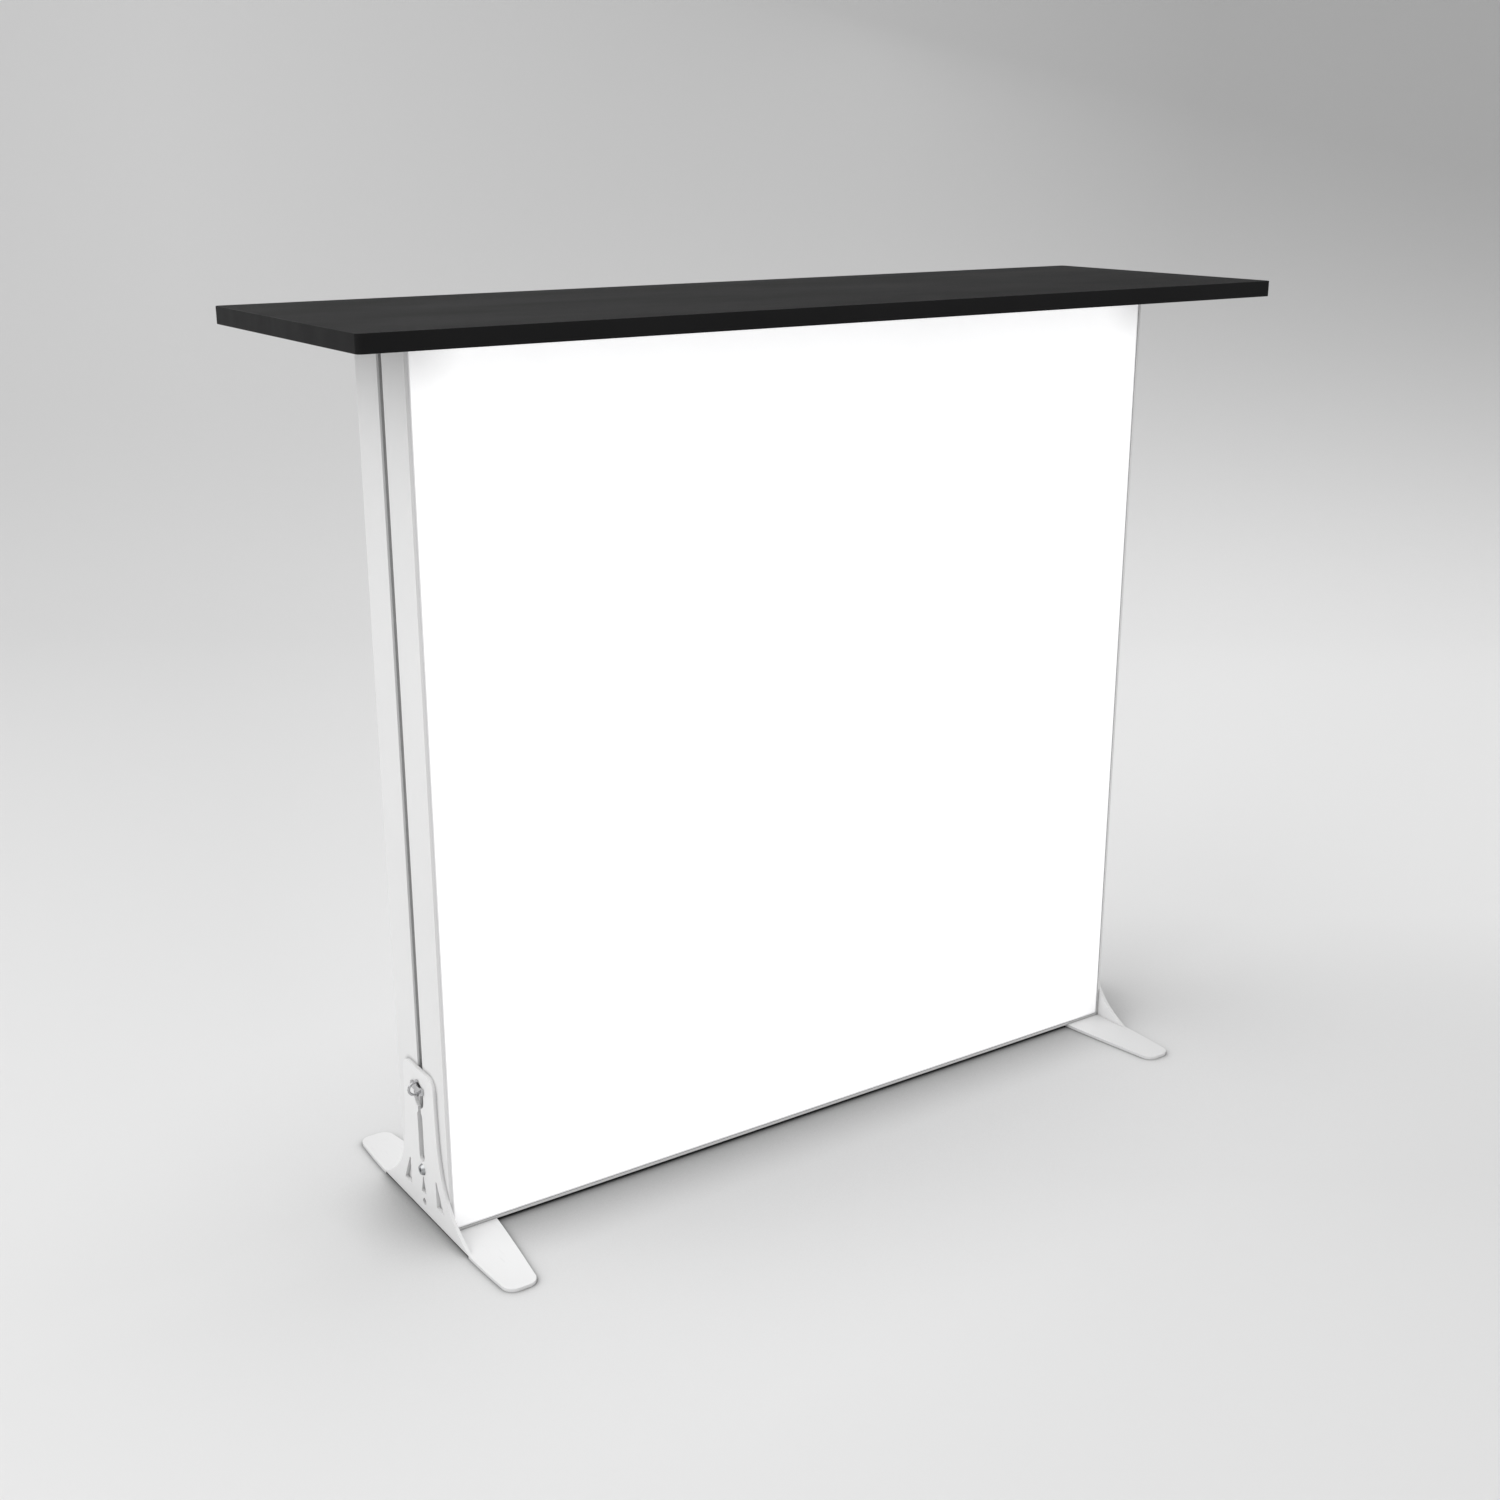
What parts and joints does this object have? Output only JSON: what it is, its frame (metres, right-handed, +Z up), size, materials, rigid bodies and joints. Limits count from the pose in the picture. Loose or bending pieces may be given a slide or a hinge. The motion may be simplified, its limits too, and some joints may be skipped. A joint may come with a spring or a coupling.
{
  "type": "illuminated counter",
  "caption": "Free-standing counter: an aluminium light box with stretched lit fabric faces, a black overhanging top and folded steel feet held by quarter-turn locks.",
  "frame": {"origin": "on the floor, under the middle of the counter: the centre of the bounding box of everything at its lowest level", "axes": "+X along the counter to the right as the customer sees it, +Y from the customer side to the staff side, +Z up"},
  "size_m": [1.196, 0.396, 1.0125],
  "materials": {
    "frame_white": "satin white powder coat",
    "foot_white": "satin white powder coat",
    "cast_zinc": "cast zinc, as cast",
    "dark_steel": "black oxide steel",
    "zinc_steel": "bright zinc plate",
    "lit_fabric": "white backlit stretch knit",
    "edge_silicone": "translucent silicone",
    "board_core": "fibreboard",
    "black_laminate": "matt black laminate",
    "black_edge": "matt black edge band",
    "insert_brass": "turned brass",
    "lock_chrome": "polished chrome plate",
    "bare_aluminium": "mill finish",
    "lamp_board": "white solder mask",
    "lens_clear": "clear moulded lens",
    "white_plastic": "moulded nylon",
    "grey_plastic": "moulded plastic",
    "lead_sheath": "black lead sheath",
    "black_plastic": "moulded black plastic",
    "pin_brass": "nickel-plated brass pins",
    "rocker_red": "glossy moulded plastic"
  },
  "bodies": {
    "counter": {"left_post": "frame_white", "right_post": "frame_white", "top_rail": "frame_white", "bottom_rail": "frame_white", "corner_bracket_top_left": "cast_zinc", "corner_bracket_top_right": "cast_zinc", "corner_bracket_bottom_left": "cast_zinc", "corner_bracket_bottom_right": "cast_zinc", "corner_screws": "dark_steel", "front_fabric": "lit_fabric", "back_fabric": "lit_fabric", "front_edge_strip": "edge_silicone", "back_edge_strip": "edge_silicone", "top_board": "board_core", "top_laminate": "black_laminate", "underside_laminate": "black_laminate", "edge_band": "black_edge", "top_inserts": "insert_brass", "top_bolts": "dark_steel", "top_washers": "zinc_steel", "foot_left": "foot_white", "foot_right": "foot_white", "foot_screws": "zinc_steel", "foot_nuts": "cast_zinc", "led_bar_left": "bare_aluminium", "led_bar_right": "bare_aluminium", "led_board_left": "lamp_board", "led_board_right": "lamp_board", "led_lenses_left": "lens_clear", "led_lenses_right": "lens_clear", "led_bar_screws": "zinc_steel", "led_plugs": "white_plastic", "led_driver": "bare_aluminium", "driver_end_caps": "grey_plastic", "driver_screws": "zinc_steel", "mains_lead": "lead_sheath", "led_lead_left": "lead_sheath", "led_lead_right": "lead_sheath", "lead_clips": "white_plastic", "lead_grommet": "lead_sheath", "power_inlet": "black_plastic", "inlet_pins": "pin_brass", "inlet_boot": "lead_sheath", "inlet_screws": "dark_steel", "switch_housing": "black_plastic"},
    "left_lock": {"foot_lock_left": "lock_chrome"},
    "right_lock": {"foot_lock_right": "lock_chrome"},
    "rocker": {"switch_rocker": "rocker_red"}
  },
  "joints": [
    {"name": "left_lock_turn", "type": "hinge", "parent": "counter", "child": "left_lock", "pos_m": [-0.505, 0, 0.162], "axis": [-1, 0, 0], "range_deg": [0, 90]},
    {"name": "right_lock_turn", "type": "hinge", "parent": "counter", "child": "right_lock", "pos_m": [0.505, 0, 0.162], "axis": [1, 0, 0], "range_deg": [0, 90]},
    {"name": "switch_rock", "type": "hinge", "parent": "counter", "child": "rocker", "pos_m": [0.4992, 0.0238, 0.324], "axis": [0, -1, 0], "range_deg": [0, 16]}
  ]
}
